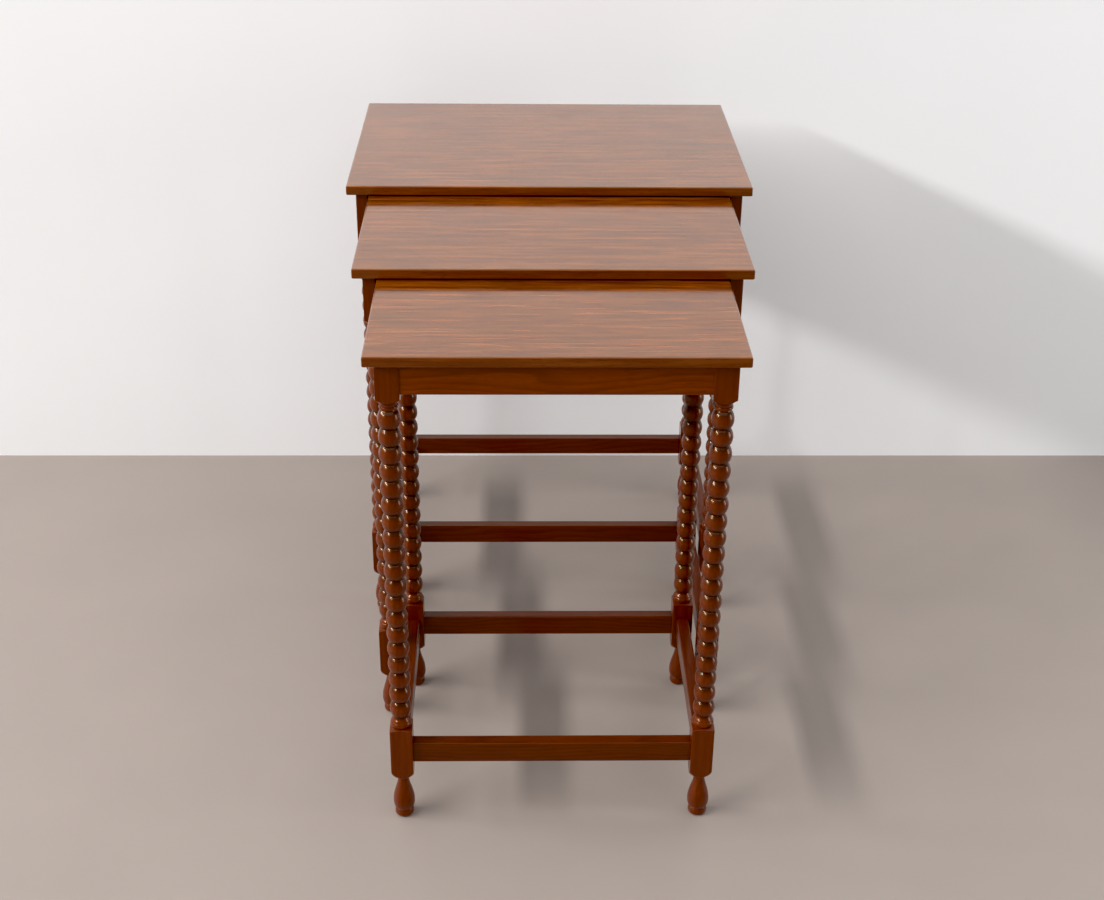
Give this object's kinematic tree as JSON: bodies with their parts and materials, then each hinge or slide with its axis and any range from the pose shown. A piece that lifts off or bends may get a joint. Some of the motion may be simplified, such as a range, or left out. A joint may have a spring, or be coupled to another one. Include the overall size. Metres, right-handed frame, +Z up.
{
  "type": "nesting tables",
  "caption": "Nesting side tables with rectangular tops, bobbin-turned legs and low stretchers; each smaller table slides in grooves under the next larger one.",
  "frame": {"origin": "on the floor, under the middle of the set's bounding box with the tables drawn out like steps", "axes": "+X to the right seen from the front, +Y from the small table at the front to the large one at the back, +Z up"},
  "size_m": [0.51, 0.8156, 0.64],
  "materials": {
    "top_wood": "satin varnish over fine straight grain",
    "frame_wood": "glossy reddish-brown varnish",
    "dowel_wood": "bare beech"
  },
  "bodies": {
    "large_table": {"large_top": "top_wood", "large_leg_front_left": "frame_wood", "large_leg_front_right": "frame_wood", "large_leg_back_left": "frame_wood", "large_leg_back_right": "frame_wood", "large_rail_left": "frame_wood", "large_rail_right": "frame_wood", "large_rail_back": "frame_wood", "large_stretcher_left": "frame_wood", "large_stretcher_right": "frame_wood", "large_stretcher_back": "frame_wood", "large_dowels": "dowel_wood"},
    "medium_table": {"medium_top": "top_wood", "medium_leg_front_left": "frame_wood", "medium_leg_front_right": "frame_wood", "medium_leg_back_left": "frame_wood", "medium_leg_back_right": "frame_wood", "medium_rail_left": "frame_wood", "medium_rail_right": "frame_wood", "medium_rail_back": "frame_wood", "medium_stretcher_left": "frame_wood", "medium_stretcher_right": "frame_wood", "medium_stretcher_back": "frame_wood", "medium_dowels": "dowel_wood"},
    "small_table": {"small_top": "top_wood", "small_leg_front_left": "frame_wood", "small_leg_front_right": "frame_wood", "small_leg_back_left": "frame_wood", "small_leg_back_right": "frame_wood", "small_rail_left": "frame_wood", "small_rail_right": "frame_wood", "small_rail_front": "frame_wood", "small_rail_back": "frame_wood", "small_stretcher_left": "frame_wood", "small_stretcher_right": "frame_wood", "small_stretcher_front": "frame_wood", "small_stretcher_back": "frame_wood", "small_dowels": "dowel_wood"}
  },
  "joints": [
    {"name": "medium_slide", "type": "slide", "parent": "large_table", "child": "medium_table", "axis": [0, -1, 0], "range_m": [-0.2435, 0.13]},
    {"name": "small_slide", "type": "slide", "parent": "medium_table", "child": "small_table", "axis": [0, -1, 0], "range_m": [-0.2055, 0.14]}
  ]
}
